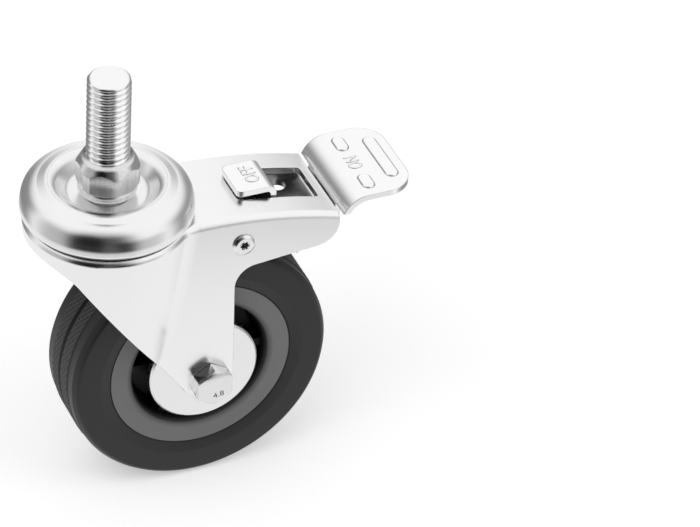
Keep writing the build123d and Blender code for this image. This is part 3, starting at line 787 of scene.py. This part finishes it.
# %% [markdown]
# The mould is engraved with two sets of crossing lines, which leave a raised net of diamonds
# on both bands. Each line is a low ridge, three points wide, that leans across its band.

# %% Knurled net on the tread
NET_CELLS = 96
NET_ROWS = 3
NET_LOW = GROOVE + 0.15
NET_HIGH = BAND - 0.55
RIDGE_HALF = 0.17
RIDGE_HEIGHT = 0.13
RIDGE_SINK = 0.03
RIDGE_STEPS = 9

verts, faces = [], []
lean = 2 * pi / NET_CELLS * NET_ROWS
along = Vector((lean * TREAD_R, NET_HIGH - NET_LOW)).normalized()
ridge = ((-RIDGE_HALF, -RIDGE_SINK), (0.0, RIDGE_HEIGHT), (RIDGE_HALF, -RIDGE_SINK))
for side in (-1, 1):
    for slant in (-1, 1):
        for line in range(NET_CELLS):
            start = 2 * pi * line / NET_CELLS
            for k in range(RIDGE_STEPS + 1):
                t = k / RIDGE_STEPS
                middle_y = NET_LOW + (NET_HIGH - NET_LOW) * t
                middle_angle = start + slant * lean * t
                for offset, rise in ridge:
                    y = middle_y - offset * along.x
                    angle = middle_angle + slant * offset * along.y / TREAD_R
                    r = TREAD_R + rise
                    verts.append((AXLE_X + r * cos(angle), side * y, AXLE_Z + r * sin(angle)))
                if k:
                    a = len(verts) - 6
                    faces.append((a, a + 1, a + 4, a + 3))
                    faces.append((a + 1, a + 2, a + 5, a + 4))
            first = len(verts) - 3 * (RIDGE_STEPS + 1)
            last = len(verts) - 3
            faces.append((first, first + 1, first + 2))
            faces.append((last, last + 1, last + 2))
make_piece("tread_knurl", verts, faces, knurl_rubber, "wheel")

# %% [markdown]
# The words say which way the lever goes: ON on the pedal and OFF on the tab that frees it.
# They are raised by the stamping tool, as the three pads on the pedal are. Round the foot of
# such relief a thin grey line is drawn: dirt with painted shade for the crease there. A font
# curve gives the letters twice: once thickened, and once as a thin wire along their outline.

# %% Helpers that lay lettering on a plate
def letter_mesh(words, width, height, rise=0.0, bevel=0.0, fill="BOTH"):
    """Mesh of a word in millimetres, centred on the origin; fill NONE leaves a wire outline."""
    curve = bpy.data.curves.new(words, "FONT")
    curve.body = words
    text = link_object(words, curve)
    bpy.context.view_layer.update()
    across, upright = width / text.dimensions.x, height / text.dimensions.y
    curve.fill_mode = fill
    curve.extrude = rise / upright
    curve.bevel_depth = bevel / upright
    curve.bevel_resolution = 1
    bpy.context.view_layer.update()
    depsgraph = bpy.context.evaluated_depsgraph_get()
    mesh = bpy.data.meshes.new_from_object(text.evaluated_get(depsgraph))
    bpy.data.objects.remove(text)
    xs = [vert.co.x for vert in mesh.vertices]
    ys = [vert.co.y for vert in mesh.vertices]
    middle = Vector(((min(xs) + max(xs)) / 2, (min(ys) + max(ys)) / 2, 0))
    for vert in mesh.vertices:
        offset = vert.co - middle
        vert.co = (offset.x * across, offset.y * upright, offset.z * upright)
    return mesh


def lay_on_plate(name, mesh, place, along, up, material, body, slot):
    """Turn a flat mesh so that X runs along and Y up the plate, and move it to its place."""
    along, up = Vector(along).normalized(), Vector(up).normalized()
    out = along.cross(up)
    for vert in mesh.vertices:
        vert.co = (Vector(place) + along * vert.co.x + up * vert.co.y + out * vert.co.z) * MM
    mesh.materials.clear()
    mesh.materials.append(material)
    piece = link_object(name, mesh)
    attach(piece, body)
    print(name, "faces:", len(mesh.polygons))


# %% Lettering on the lever and on the bolt's head
TOWARDS_NUT_SIDE = (0, 1, 0)
TOWARDS_STEM = (-1, 0, 0)
LETTER_HEIGHT = 3.7
LETTER_RISE = 0.10
LETTER_BEVEL = 0.05
WIRE_R = 0.09
WIRE_SPREAD = 0.1
GRADE_PLACE = (AXLE_X + 0.9, BOLT_FACE, AXLE_Z - 2.25)
GRADE_WIDTH = 3.2
GRADE_HEIGHT = 1.7
GRADE_RISE = 0.02
GRADE_LEAN = radians(10)

# Each row gives the piece, its word, the place of the word's middle and the word's width.
for name, words, place, width in (
    ("letters_on", "ON", (71.8, 0.0, PEDAL_TOP), 5.4),
    ("letters_off", "OFF", (41.2, 0.6, TAB_TOP), 7.2),
):
    raised = letter_mesh(words, width, LETTER_HEIGHT, LETTER_RISE, LETTER_BEVEL)
    wire = letter_mesh(words, width + WIRE_SPREAD, LETTER_HEIGHT + WIRE_SPREAD, 0.0, WIRE_R, "NONE")
    directions = (TOWARDS_NUT_SIDE, TOWARDS_STEM)
    lay_on_plate(name, raised, place, *directions, pedal_plate, "brake", "bright_plate")
    # The wire along the letters' foot is the thin grey line: dirt with painted shade.
    lay_on_plate(name + "_foot", wire, place, *directions, root_dirt_and_shade, "brake", "bright_plate")

# The grade mark is dark: dirt with painted shade in the stamped figures.
grade = letter_mesh("4.8", GRADE_WIDTH, GRADE_HEIGHT, GRADE_RISE)
lay_on_plate(
    "grade_mark", grade, GRADE_PLACE, (cos(GRADE_LEAN), 0, sin(GRADE_LEAN)),
    (-sin(GRADE_LEAN), 0, cos(GRADE_LEAN)), stamped_mark_and_shade, "fork", "fastener_zinc",
)

# %% [markdown]
# The three pads are in the CAD lever. Each gets the same thin grey line round its foot, dirt
# with painted shade: a closed tube along a slot outline, which is two straight runs and two
# half circles. A row gives the middle of a pad, its length across the lever and its width.

# %% Foot lines of the pads
PADS = [(79.8, 0.0, 19.0, 3.8), (71.7, -9.0, 6.6, 3.6), (71.7, 9.0, 6.6, 3.6)]
ARC_STEPS = 16
TUBE_SIDES = 6

verts, faces = [], []
for pad_x, pad_y, length, width in PADS:
    outline = []
    for end in (1, -1):
        for k in range(ARC_STEPS + 1):
            angle = pi * k / ARC_STEPS + (0 if end > 0 else pi)
            direction = Vector((cos(angle), sin(angle), 0))
            centre = Vector((pad_x, pad_y + end * (length - width) / 2, PEDAL_TOP))
            outline.append((centre + direction * width / 2, direction))
    first, count = len(verts), len(outline)
    for i, (point, direction) in enumerate(outline):
        for k in range(TUBE_SIDES):
            around = 2 * pi * k / TUBE_SIDES
            raised = Vector((0, 0, WIRE_R * sin(around)))
            verts.append(point + direction * WIRE_R * cos(around) + raised)
            a, b = first + i * TUBE_SIDES + k, first + i * TUBE_SIDES + (k + 1) % TUBE_SIDES
            c = first + (i + 1) % count * TUBE_SIDES
            faces.append((a, b, c + (k + 1) % TUBE_SIDES, c + k))
# The pads' foot lines are dirt with painted shade.
make_piece("pad_feet", verts, faces, root_dirt_and_shade, "brake")

# %% [markdown]
# On the far side the bolt's tip stands out of the lock nut, and its thread shows. The CAD
# bolt is copied, cut off inside the nut, and the thread is wound from there to the tip. It is
# wound about Z and then laid along the axle by a plain turn, which keeps it right-handed.

# %% Threaded bolt
BOLT_R = 3.0
BOLT_PITCH = 1.0
BOLT_DEPTH = 0.5
BOLT_CHAMFER = 0.8
BOLT_CUT = NUT_SEAT + 1.9
BOLT_OVERLAP = 0.5
BOLT_SHARP = radians(20)

bolt = cut_copy(
    "bolt_head_and_shank", "axle_bolt", (0, BOLT_CUT, 0), (0, 1, 0), fastener_plate, BOLT_SHARP,
)
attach(bolt, "fork")

bolt_foot = BOLT_CUT - BOLT_OVERLAP
verts, faces = wind_thread(BOLT_R, BOLT_DEPTH, BOLT_PITCH, bolt_foot, BOLT_END, BOLT_CHAMFER)
verts = [(AXLE_X + x, z, AXLE_Z - y) for x, y, z in verts]
make_piece(
    "bolt_thread", verts, faces, fastener_plate, "fork",
    replaced=("axle_bolt",), close=True, sharp=THREAD_SHARP,
)

# %% [markdown]
# The rivet is hollow, and the tool that set it left a fluted mouth. A short sleeve with a
# six-lobed hole lines each end.

# %% Fluted mouth of the rivet
LOBES = 6
LOBE_DEPTH = 0.20
HOLE_R = 1.14
HOLE_CHAMFER = 0.10
MOUTH_R = 1.45
MOUTH_PROUD = 0.02
MOUTH_DEPTH = 2.2
MOUTH_STEPS = 72

for side, name in ((-1, "rivet_mouth_head_side"), (1, "rivet_mouth_nut_side")):
    verts, faces = [], []
    for i in range(MOUTH_STEPS):
        angle = 2 * pi * i / MOUTH_STEPS
        hole = HOLE_R + LOBE_DEPTH * cos(LOBES * angle)
        section = (
            (MOUTH_R, -MOUTH_PROUD), (hole + HOLE_CHAMFER, -MOUTH_PROUD), (hole, HOLE_CHAMFER),
            (hole, MOUTH_DEPTH), (MOUTH_R, MOUTH_DEPTH),
        )
        for r, depth in section:
            y = side * (RIVET_FACE - depth)
            verts.append((RIVET_X + r * cos(angle), y, RIVET_Z + r * sin(angle)))
        count = len(section)
        turn_on = count * ((i + 1) % MOUTH_STEPS) - count * i
        for k in range(count):
            a, b = i * count + k, i * count + (k + 1) % count
            faces.append((a, b, b + turn_on, a + turn_on))
    make_piece(name, verts, faces, bright_plate, "fork")
